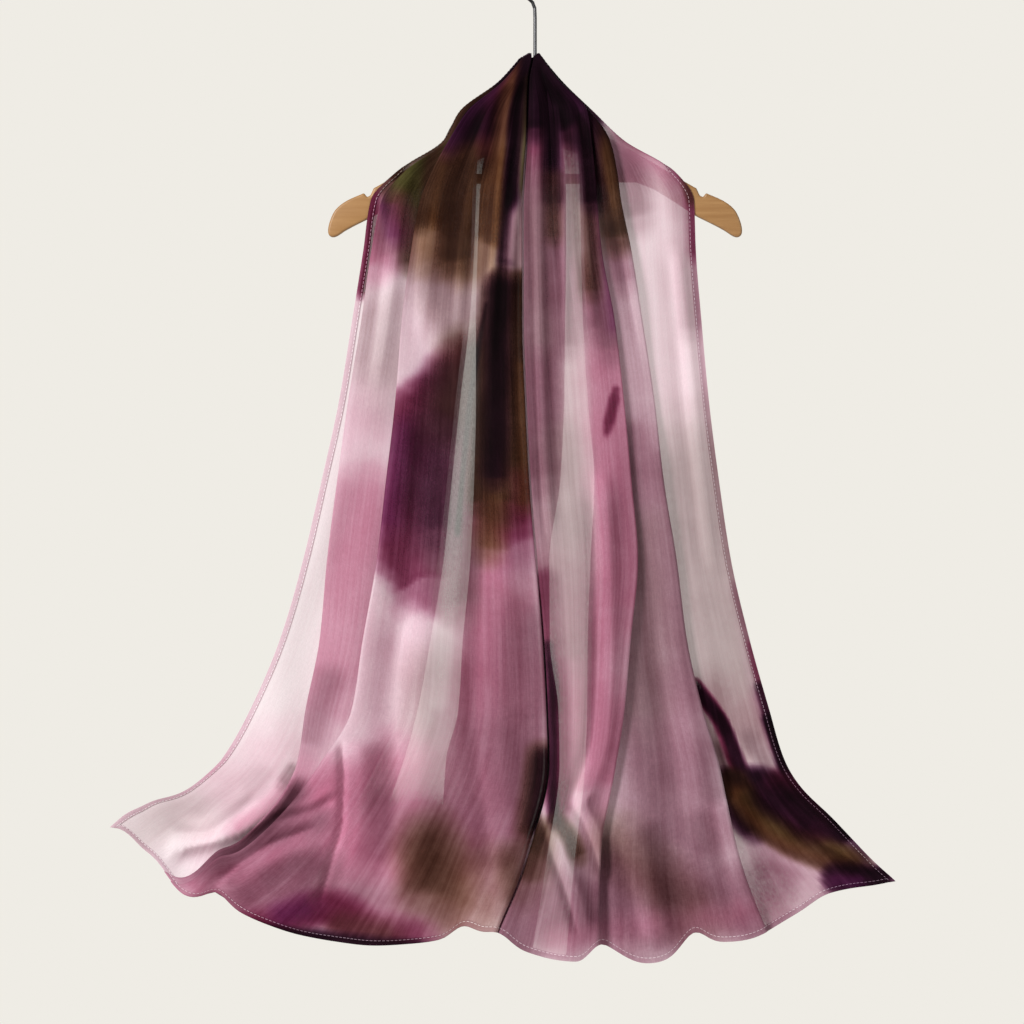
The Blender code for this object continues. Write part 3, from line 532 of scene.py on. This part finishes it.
# the painted fold shading is held between these; below zero it is painted highlight
FOLD_SHADING_LEAST, FOLD_SHADING_MOST = -0.4, 1.2
WANDER_ACROSS, WANDER_DROP, WANDER_FULL = 7, 9, 45  # the most in mm, and the half width that gets all of it
BLEED = 0.7  # how far a wash fades round the end of its line, in its soft edge's widths
COLLAR_GATHER, COLLAR_ENDS = 0.25, (130, 290)  # drops


def wander(across, drop, seed):
    """A smooth uneven shift, so that the washes' edges aren't round."""
    total = 0.0
    for k, (long, high) in enumerate(((150, 1.0), (67, 0.5), (31, 0.25), (14, 0.12))):
        turn = seed * 1.7 + k * 2.1
        along = across * np.cos(turn) + drop * np.sin(turn)
        total = total + high * np.sin(along * 6.283 / long + turn * 5 + 1.3 * np.sin(drop / long + k))
    return total


def dye_and_shade(side, across, drop, layer, fold_shading):
    """How much the dyes, and the shade and highlight painted at the creases, take of red, green and blue at
    each place, as an exponent.
    """
    own = np.round(layer)
    shift_across = WANDER_ACROSS * wander(across, drop, 1 + own)
    shift_drop = WANDER_DROP * wander(across, drop, 4 + own)
    taken = np.zeros((*across.shape, 3)) - np.log(GROUND)
    for name, low, high, line, wide, soft, strength in LEFT_WASHES if side == LEFT else RIGHT_WASHES:
        uneven = min(1.0, (wide / WANDER_FULL) ** 1.5)
        at, down = across + uneven * shift_across, drop + uneven * shift_drop
        signed, share = beside_line(line, at, down, 2 * wide)
        far = np.abs(signed) / wide
        bleed = BLEED * soft * wide / sum(math.dist(a, b) for a, b in zip(line, line[1:]))
        here = strength * (1 - ease(far, 1 - soft, 1 + soft)) * (1 - ease(share, 1 - bleed, 1 + bleed))
        here *= (own >= low) * (own <= high)
        taken += here[..., None] * (-np.log(DYES[name]) - taken)
    # painted shade beside the creases and painted highlight on their tops
    return taken + np.clip(fold_shading, FOLD_SHADING_LEAST, FOLD_SHADING_MOST)[..., None] * PAINTED_FOLD_SHADE


def gather(side, across, drop):
    """How much less light comes through, where the cloth is bunched at the collar or lies double."""
    less = COLLAR_GATHER * (1 - ease(drop, *COLLAR_ENDS))
    for line, wide, more in LEFT_DOUBLED if side == LEFT else RIGHT_DOUBLED:
        far = np.abs(beside_line(line, across, drop, 2 * wide)[0]) / wide
        less = less + more * (1 - ease(far, 0.3, 1.7))
    return less


# ---------------------------------------------------------------- hems
HEM_PROFILE = (  # distance in from the edge, how far under the cloth: there along one fold, then back
    (0.0, 0.0), (0.5, 0.32), (3.2, 0.36), (6.6, 0.32), (6.9, 0.5), (6.6, 0.68), (3.2, 0.72), (0.5, 0.66),
    (0.0, 0.3),
)
HEM_REACH = {"outer": 8, "inner": 9, "bottom": 15}  # how many points in from the edge a hem may take
HEM_DYE = (0.10, 0.20, 0.16)  # what the hem's folded edge takes more of red, green and blue
HEM_CORNER = 2  # columns at either end that belong to the side hems
STITCH_IN, STITCH_STEP, STITCH_LONG = 5.6, 4.4, 2.8
STITCH_ENDS = (1.5, 4.0)  # free of stitches at the start and end of a hem
STITCH_SECTION = ((-0.24, -0.22), (0.24, -0.22), (0.24, 1.0), (-0.24, 1.0))
BOX_FACES = ((0, 1, 2, 3), (7, 6, 5, 4), (0, 4, 5, 1), (1, 5, 6, 2), (2, 6, 7, 3), (3, 7, 4, 0))


# ---------------------------------------------------------------- meshes
def mesh_of(bm, name):
    """A mesh from the bmesh, which is freed."""
    mesh = bpy.data.meshes.new(name)
    bm.to_mesh(mesh)
    bm.free()
    return mesh


def add(name, data, look=None):
    """A new object in the scene."""
    made = bpy.data.objects.new(name, data)
    bpy.context.scene.collection.objects.link(made)
    if look is not None:
        data.materials.append(look)
    return made


def running_length(points):
    """How far each point lies along its line. A line's points follow one another on the first axis."""
    steps = np.linalg.norm(np.diff(points, axis=0), axis=-1)
    return np.concatenate([np.zeros((1, *steps.shape[1:])), np.cumsum(steps, axis=0)])


def along_line(places, run, values):
    """The line's values, given where its points lie along it (run), at other places."""
    return np.stack([np.interp(places, run, value) for value in values.T], axis=1)


def mesh_through(name, points, faces, attributes):
    """A mesh through points in mm, with a number or a vector at each of them for every attribute."""
    mesh = bpy.data.meshes.new(name)
    mesh.from_pydata((points.reshape(-1, 3) * MM).tolist(), [], faces)
    mesh.update()
    for key, values in attributes.items():
        vector = values.ndim == points.ndim
        made = mesh.attributes.new(key, "FLOAT_VECTOR" if vector else "FLOAT", "POINT")
        made.data.foreach_set("vector" if vector else "value", values.astype(np.float32).ravel())
    return mesh


def sheet(name, points, attributes, look):
    """A smooth sheet through points[row, column] in mm, with cloth coordinates in metres."""
    down, over = points.shape[:2]
    index = np.arange(down * over).reshape(down, over)
    quads = np.stack([index[:-1, :-1], index[1:, :-1], index[1:, 1:], index[:-1, 1:]], axis=-1)
    mesh = mesh_through(name, points, quads.reshape(-1, 4).tolist(), attributes)
    mesh.shade_smooth()
    run = running_length(points)
    wide = np.broadcast_to(running_length(points[len(points) // 2]), run.shape)
    uv = (np.stack([wide, run], axis=-1) * MM).reshape(-1, 2)
    corners = np.empty(len(mesh.loops), np.int32)
    mesh.loops.foreach_get("vertex_index", corners)
    mesh.uv_layers.new(name="cloth").data.foreach_set("uv", uv[corners].astype(np.float32).ravel())
    return add(name, mesh, look)


def front(name, side, folds, counts, look):
    """One half of the scarf: its object, its points and what its mesh says of each."""
    points, depth, fold_shading = front_points(side, folds, counts)
    if side == RIGHT:
        points, depth, fold_shading = points[:, ::-1], depth[::-1], fold_shading[:, ::-1]
    layer = np.broadcast_to(depth[None, :], points.shape[:2])
    across, drop = points[..., 0], -points[..., 2]
    looks = {"dye_and_shade": dye_and_shade(side, across, drop, layer, fold_shading), "gather": gather(side, across, drop)}
    return sheet(name, points, looks, look), points, looks


def inward(strands, distances):
    """What lies at these distances in mm along each strand, whose first three values are its place."""
    return np.stack([along_line(distances, running_length(strand[:, :3]), strand) for strand in strands])


def stitches(name, strands, normal, dyed_and_shaded, thread):
    """A row of stitches along a hem, where the cloth faces along `normal` and is dyed and shaded like this.
    """
    line = inward(strands, [STITCH_IN - 0.5, STITCH_IN, STITCH_IN + 0.5])[..., :3]
    run = running_length(line[:, 1])
    starts = np.arange(STITCH_ENDS[0], run[-1] - STITCH_ENDS[1], STITCH_STEP)
    sides = []
    for at in (starts, starts + STITCH_LONG):
        place = along_line(at, run, line[:, 1])
        inner = along_line(at, run, line[:, 2] - line[:, 0])
        out = along_line(at, run, normal)
        sides += [place + inner * wide + out * deep for wide, deep in STITCH_SECTION]
    corners = np.stack(sides, axis=1)
    faces = [[8 * i + k for k in face] for i in range(len(corners)) for face in BOX_FACES]
    dyed_and_shaded = np.broadcast_to(along_line(starts, run, dyed_and_shaded)[:, None], corners.shape)
    return add(name, mesh_through(name, corners, faces, {"dye_and_shade": dyed_and_shaded}), thread)


def hem(name, strands, look, thread):
    """A narrow hem turned under along the strands' first points, and its row of stitches."""
    across = inward(strands, [d for d, _ in HEM_PROFILE])
    along = np.gradient(across[..., :3], axis=0)
    into = across[:, 3:4, :3] - across[:, :1, :3]
    normal = np.cross(along, np.broadcast_to(into, along.shape))
    normal /= np.maximum(np.linalg.norm(normal, axis=2, keepdims=True), 1e-9)
    under = np.array([u for _, u in HEM_PROFILE])[None, :, None]
    looks = {"dye_and_shade": across[..., 3:6] + HEM_DYE, "gather": across[..., 6]}
    band = sheet(f"{name}_hem", across[..., :3] + normal * under, looks, look)
    return band, stitches(f"{name}_stitches", strands, normal[:, 3], across[:, 5, 3:6], thread)


def hems(name, points, looks, side, look, thread):
    """The hems down the outer and inner edges and along the bottom."""
    full = np.concatenate([points, looks["dye_and_shade"], looks["gather"][..., None]], axis=2)
    if side == RIGHT:
        full = full[:, ::-1]
    made = []
    for edge, strands in (
        ("outer", full),
        ("inner", full[:, ::-1]),
        ("bottom", full[::-1, HEM_CORNER:-HEM_CORNER].swapaxes(0, 1)),
    ):
        made += hem(f"{name}_{edge}", strands[:, : HEM_REACH[edge]], look, thread)
    return made


# ---------------------------------------------------------------- the arms and the neck
def rounded(points, times=3):
    """The open line with its corners cut again and again."""
    line = np.array(points, float)
    for _ in range(times):
        pairs = np.stack([0.75 * line[:-1] + 0.25 * line[1:], 0.25 * line[:-1] + 0.75 * line[1:]], axis=1)
        line = np.concatenate([line[:1], pairs.reshape(-1, 2), line[-1:]])
    return [tuple(point) for point in line.tolist()]


def arms_outline():
    """The arms from the front, all the way round, as (across, drop)."""
    outs = np.arange(3, 204, 3.0)
    upper, lower = ([(w[0], w[i]) for w in WOOD] for i in (1, 2))
    beside = np.linspace(-NOTCH_HALF - NOTCH_LIP, NOTCH_HALF + NOTCH_LIP, 25)
    dips = NOTCH_DEEP * (1 - ease(np.abs(beside), NOTCH_HALF - 3, NOTCH_HALF + NOTCH_LIP))
    notch = NOTCH_OUT + beside
    solid = outs[np.abs(outs - NOTCH_OUT) > NOTCH_HALF + NOTCH_LIP + 1]
    top = [*zip(notch, smooth_through(upper, notch) + dips), *zip(solid, smooth_through(upper, solid))]
    below = zip(outs[-2::-1], smooth_through(lower, outs[-2::-1]))
    right = [*sorted(top), *rounded(NOSE), *below]
    return [(0, WOOD[0][1]), *right, (0, WOOD[0][2]), *[(-across, drop) for across, drop in right[::-1]]]


def arms_solid():
    """The arms as a flat piece with rounded edges."""
    data = bpy.data.curves.new("arms_curve", "CURVE")
    data.dimensions = "2D"
    data.fill_mode = "BOTH"
    data.extrude = (WOOD_THICK / 2 - WOOD_ROUND) * MM
    data.bevel_depth = WOOD_ROUND * MM
    data.bevel_resolution = 4
    data.offset = -WOOD_ROUND * MM
    outline = arms_outline()
    spline = data.splines.new("POLY")
    spline.points.add(len(outline) - 1)
    for point, (across, drop) in zip(spline.points, outline):
        point.co = (across * MM, -drop * MM, 0, 1)
    spline.use_cyclic_u = True
    curve = add("arms_curve", data)
    bm = bmesh.new()
    bm.from_mesh(curve.evaluated_get(bpy.context.evaluated_depsgraph_get()).to_mesh())
    bpy.data.objects.remove(curve, do_unlink=True)
    bmesh.ops.remove_doubles(bm, verts=bm.verts, dist=0.02 * MM)
    bmesh.ops.rotate(bm, verts=bm.verts, matrix=Matrix.Rotation(math.pi / 2, 3, "X"))
    bmesh.ops.recalc_face_normals(bm, faces=bm.faces)
    return add("arms_solid", mesh_of(bm, "arms_solid"))


def bore(radius, length, centre, level):
    """A rod that cuts a bore or a socket."""
    across, drop = centre
    turn = Matrix.Rotation(math.pi / 2 * level, 4, "Y")
    place = Matrix.Translation((across * MM, 0, -drop * MM)) @ turn
    wide = radius * MM
    bm = bmesh.new()
    bmesh.ops.create_cone(
        bm, cap_ends=True, segments=40, radius1=wide, radius2=wide, depth=length * MM, matrix=place
    )
    return add("bore", mesh_of(bm, "bore"))


def arms(look):
    """The wooden arms with round noses, soft edges, the hook's bore and the bar's sockets."""
    solid = arms_solid()
    rods = [bore(*size) for size in BORES]
    for rod in rods:
        cut = solid.modifiers.new("bore", "BOOLEAN")
        cut.operation = "DIFFERENCE"
        cut.object = rod
    mesh = bpy.data.meshes.new_from_object(solid.evaluated_get(bpy.context.evaluated_depsgraph_get()))
    for spent in (solid, *rods):
        bpy.data.objects.remove(spent, do_unlink=True)
    mesh.materials.clear()
    mesh.shade_smooth()
    mesh.set_sharp_from_angle(angle=math.radians(35))
    return add("arms", mesh, look)


def between_points(points, share):
    """The place at `share` along the points, where 1 is the second point."""
    return [float(smooth_through([(k, point[i]) for k, point in enumerate(points)], share)) for i in (0, 1)]


def neck(look):
    """The gathered band that joins the halves behind the hook's shank."""
    rows = []
    t = np.linspace(0, 1, NECK_COLUMNS)
    arch = np.sin(np.pi * t)
    for share in np.linspace(0, len(NECK_BACK) - 1, NECK_ROWS):
        left, right = between_points(NECK_LEFT, share), between_points(NECK_RIGHT, share)
        drop, back = between_points(NECK_BACK, share)
        across = left[0] + (right[0] - left[0]) * t
        fall = left[1] + (right[1] - left[1]) * t + (drop - (left[1] + right[1]) / 2) * 4 * t * (1 - t)
        deep = NECK_SEAT + SEAT + WALL / 2 + (back - SHANK_BACK) * arch**0.7
        rows.append(np.stack([across, deep, -fall], axis=1))
    points = np.stack(rows)
    across, drop = points[..., 0], -points[..., 2]
    front_layer, flat = np.full(drop.shape, 4.0), np.zeros(drop.shape)
    dyed_and_shaded = dye_and_shade(LEFT, across * 0.5 - 30, drop, front_layer, flat)
    looks = {"dye_and_shade": dyed_and_shaded, "gather": gather(LEFT, across, drop)}
    return sheet("neck", points, looks, look)


# ---------------------------------------------------------------- materials
class Nodes:
    """Short calls for the node tree of a material or a world."""

    def __init__(self, owner):
        self.owner = owner
        owner.use_nodes = True
        self.tree = owner.node_tree
        self.tree.nodes.clear()

    def add(self, kind, inputs=(), **settings):
        """A node with these settings, and a value or a link for each of these inputs."""
        node = self.tree.nodes.new(kind)
        for key, value in settings.items():
            setattr(node, key, value)
        for key, value in dict(inputs).items():
            if isinstance(value, bpy.types.NodeSocket):
                self.tree.links.new(value, node.inputs[key])
            else:
                node.inputs[key].default_value = value
        return node

    def place(self):
        return self.add("ShaderNodeTexCoord").outputs["Object"]

    def maths(self, operation, a, b):
        return self.add("ShaderNodeMath", {0: a, 1: b}, operation=operation).outputs[0]

    def mix(self, share, a, b):
        """A colour between two others, each a socket or its red, green and blue."""
        a, b = (c if isinstance(c, bpy.types.NodeSocket) else (*c, 1.0) for c in (a, b))
        return self.add("ShaderNodeMix", {"Factor": share, 6: a, 7: b}, data_type="RGBA").outputs[2]

    def noise(self, vector, scale, detail, roughness, stretch=(1, 1, 1)):
        mapped = self.add("ShaderNodeMapping", {"Scale": stretch, "Vector": vector}).outputs[0]
        inputs = {"Vector": mapped, "Scale": scale, "Detail": detail, "Roughness": roughness}
        return self.add("ShaderNodeTexNoise", inputs).outputs["Fac"]

    def remap(self, *values):
        """The first value, brought from between the next two to between the last two."""
        return self.add("ShaderNodeMapRange", dict(enumerate(values))).outputs[0]

    def dyed_and_shaded(self, factor):
        """The colour that the mesh's dye and painted fold shade leave with their exponents at this factor,
        and the one of green.
        """
        vector = self.add("ShaderNodeAttribute", attribute_name="dye_and_shade").outputs["Vector"]
        taken = self.add("ShaderNodeSeparateXYZ", {0: vector}).outputs
        powers = [self.maths("MULTIPLY", exponent, factor) for exponent in taken]
        left = [self.maths("POWER", math.exp(-1), power) for power in powers]
        return self.add("ShaderNodeCombineColor", dict(enumerate(left))).outputs[0], taken[1]

    def bump(self, height, strength, distance):
        inputs = {"Height": height, "Strength": strength, "Distance": distance}
        return self.add("ShaderNodeBump", inputs).outputs[0]

    def principled(self, colour, roughness, more=()):
        inputs = {"Base Color": colour, "Roughness": roughness, **dict(more)}
        return self.add("ShaderNodeBsdfPrincipled", inputs).outputs[0]

    def mix_shader(self, share, a, b):
        return self.add("ShaderNodeMixShader", {0: share, 1: a, 2: b}).outputs[0]

    def finish(self, surface, output="ShaderNodeOutputMaterial"):
        self.add(output, {"Surface": surface})
        return self.owner


def voile_material():
    """Sheer voile: dyes and painted fold shade come from the mesh, threads and slubs from noise along the
    cloth.
    """
    n = Nodes(bpy.data.materials.new("printed_voile"))
    cloth = n.add("ShaderNodeUVMap", uv_map="cloth").outputs["UV"]
    cloudy = n.noise(n.place(), 24, 4, 0.6)
    warp_slubs = n.noise(cloth, 1, 2, 0.6, (1500, 160, 1))
    weft_slubs = n.noise(cloth, 1, 2, 0.6, (170, 1500, 1))
    threads = n.maths("ADD", n.maths("MULTIPLY", warp_slubs, 0.6), n.maths("MULTIPLY", weft_slubs, 0.4))
    crinkle = n.noise(cloth, 1, 3, 0.6, (240, 5, 1))
    uneven = n.remap(cloudy, 0.3, 0.7, 0.90, 1.10)
    uneven = n.maths("MULTIPLY", uneven, n.remap(threads, 0.35, 0.65, 1.04, 0.96))
    uneven = n.maths("MULTIPLY", uneven, n.remap(crinkle, 0.35, 0.65, 0.90, 1.10))
    colour, green = n.dyed_and_shaded(uneven)

    opacity = n.remap(green, 0.3, 3.0, 0.70, 0.86)
    opacity = n.maths("ADD", opacity, n.remap(threads, 0.35, 0.65, -0.07, 0.07))
    bunched = n.add("ShaderNodeAttribute", attribute_name="gather").outputs["Fac"]
    opacity = n.maths("ADD", opacity, bunched)
    opacity.node.use_clamp = True

    soft = {"Specular IOR Level": 0.06, "Sheen Weight": 0.02, "Sheen Roughness": 0.4}
    soft["Normal"] = n.bump(threads, 0.25, 0.0005)
    lit = n.principled(colour, n.remap(threads, 0.3, 0.7, 0.74, 0.88), soft)
    through = n.add("ShaderNodeBsdfTranslucent", {"Color": colour}).outputs[0]
    clear = n.add("ShaderNodeBsdfTransparent").outputs[0]
    return n.finish(n.mix_shader(opacity, clear, n.mix_shader(0.22, lit, through)))


def thread_material():
    """Sewing thread in a paler tone of the cloth that it holds."""
    n = Nodes(bpy.data.materials.new("sewing_thread"))
    twist = n.noise(n.place(), 1, 2, 0.5, (1600, 1600, 1600))
    colour, _ = n.dyed_and_shaded(n.remap(twist, 0.3, 0.7, 0.42, 0.28))
    return n.finish(n.principled(colour, n.remap(twist, 0.3, 0.7, 0.5, 0.7)))


def wood_material():
    """Pale wood with its grain along the arms, under a satin lacquer."""
    n = Nodes(bpy.data.materials.new("satin_beech"))
    grain = n.noise(n.place(), 1, 5, 0.6, (14, 60, 260))
    broad = n.noise(n.place(), 1, 2, 0.5, (6, 20, 40))
    colour = n.mix(n.remap(grain, 0.3, 0.7, 0.0, 1.0), (0.31, 0.155, 0.052), (0.40, 0.215, 0.078))
    colour = n.mix(n.remap(broad, 0.35, 0.65, 0.0, 0.5), colour, (0.27, 0.13, 0.045))
    fine = {"Normal": n.bump(grain, 0.15, 0.0004)}
    return n.finish(n.principled(colour, n.remap(grain, 0.3, 0.7, 0.38, 0.52), fine))


def steel_material():
    """Drawn steel wire."""
    n = Nodes(bpy.data.materials.new("drawn_steel"))
    drawn = n.noise(n.place(), 1, 3, 0.6, (900, 900, 40))
    colour = n.mix(n.remap(drawn, 0.3, 0.7, 0, 1), (0.040, 0.040, 0.041), (0.060, 0.060, 0.061))
    return n.finish(n.principled(colour, n.remap(drawn, 0.3, 0.7, 0.28, 0.4), {"Metallic": 1.0}))


def floor_material():
    n = Nodes(bpy.data.materials.new("pale_floor"))
    dust = n.noise(n.place(), 3, 2, 0.5)
    colour = n.mix(n.remap(dust, 0.3, 0.7, 0, 1), (0.80, 0.78, 0.73), (0.83, 0.81, 0.76))
    return n.finish(n.principled(colour, 0.9))


def studio_world():
    """A pale backdrop for the camera, and a weaker light for the cloth."""
    n = Nodes(bpy.data.worlds.new("studio"))
    given = n.add("ShaderNodeBackground", {"Color": DAYLIGHT, "Strength": DAYLIGHT_STRENGTH}).outputs[0]
    seen = n.add("ShaderNodeBackground", {"Color": BACKDROP}).outputs[0]
    from_camera = n.add("ShaderNodeLightPath").outputs["Is Camera Ray"]
    return n.finish(n.mix_shader(from_camera, given, seen), "ShaderNodeOutputWorld")


# ---------------------------------------------------------------- the pieces
voile = voile_material()
wood = wood_material()
steel = steel_material()
thread = thread_material()
left, left_points, left_looks = front("left_half", LEFT, LEFT_FOLDS, LEFT_POINTS, voile)
right, right_points, right_looks = front("right_half", RIGHT, RIGHT_FOLDS, RIGHT_POINTS, voile)
back = neck(voile)
left_hems = hems("left", left_points, left_looks, LEFT, voile, thread)
right_hems = hems("right", right_points, right_looks, RIGHT, voile, thread)
for piece, node in ((left, "scarf_left_front"), (right, "scarf_right_front"), (back, "scarf_back_neck")):
    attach(piece, "root")
    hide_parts(node)
for piece in left_hems + right_hems:
    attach(piece, "root")

wooden = arms(wood)
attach(wooden, "root")
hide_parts("hanger_arms")
for node, look in (("hanger_bar", wood), ("hanger_hook", steel)):
    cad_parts[node].material_slots[0].material = look

# ---------------------------------------------------------------- stage, light and camera
FLOOR_DROP, FLOOR_RADIUS = 1.30, 1.5
BACKDROP, DAYLIGHT, DAYLIGHT_STRENGTH = (0.863, 0.839, 0.783, 1), (1.0, 0.985, 0.96, 1), 0.32
LIGHTS = (  # name, power, width, height, place, what it points at
    ("key", 100, 0.8, 1.1, (-1.9, -2.0, 0.8), (0, 0, -0.55)),
    ("fill", 12, 1.4, 1.4, (1.9, -1.6, 0.0), (0, 0, -0.6)),
    ("rim", 10, 1.0, 1.4, (0.6, 1.8, 0.7), (0, 0, -0.5)),
)
LENS, SENSOR = 200, 36
VIEW_WIDTH, VIEW_CENTRE = 1.106, (-0.025, -0.02, -0.596)  # what the picture spans, and its middle

bm = bmesh.new()
bmesh.ops.create_circle(bm, cap_ends=True, segments=96, radius=FLOOR_RADIUS)
floor = add("floor", mesh_of(bm, "floor"), floor_material())
floor.location = (0, 0, -FLOOR_DROP)
bpy.context.scene.world = studio_world()

for name, power, wide, high, place, target in LIGHTS:
    data = bpy.data.lights.new(name, "AREA")
    data.shape = "RECTANGLE"
    data.energy, data.size, data.size_y = power, wide, high
    lamp = add(name, data)
    lamp.location = place
    lamp.rotation_euler = (Vector(target) - Vector(place)).to_track_quat("-Z", "Y").to_euler()

data = bpy.data.cameras.new("camera")
data.lens, data.sensor_width, data.clip_end = LENS, SENSOR, 50
camera = add("camera", data)
across, near, high = VIEW_CENTRE
camera.location = (across, near - VIEW_WIDTH * LENS / SENSOR, high)
camera.rotation_euler = (math.pi / 2, 0, 0)
bpy.context.scene.camera = camera
bpy.context.scene.view_settings.view_transform = "Standard"
bpy.context.scene.cycles.transparent_max_bounces = 24
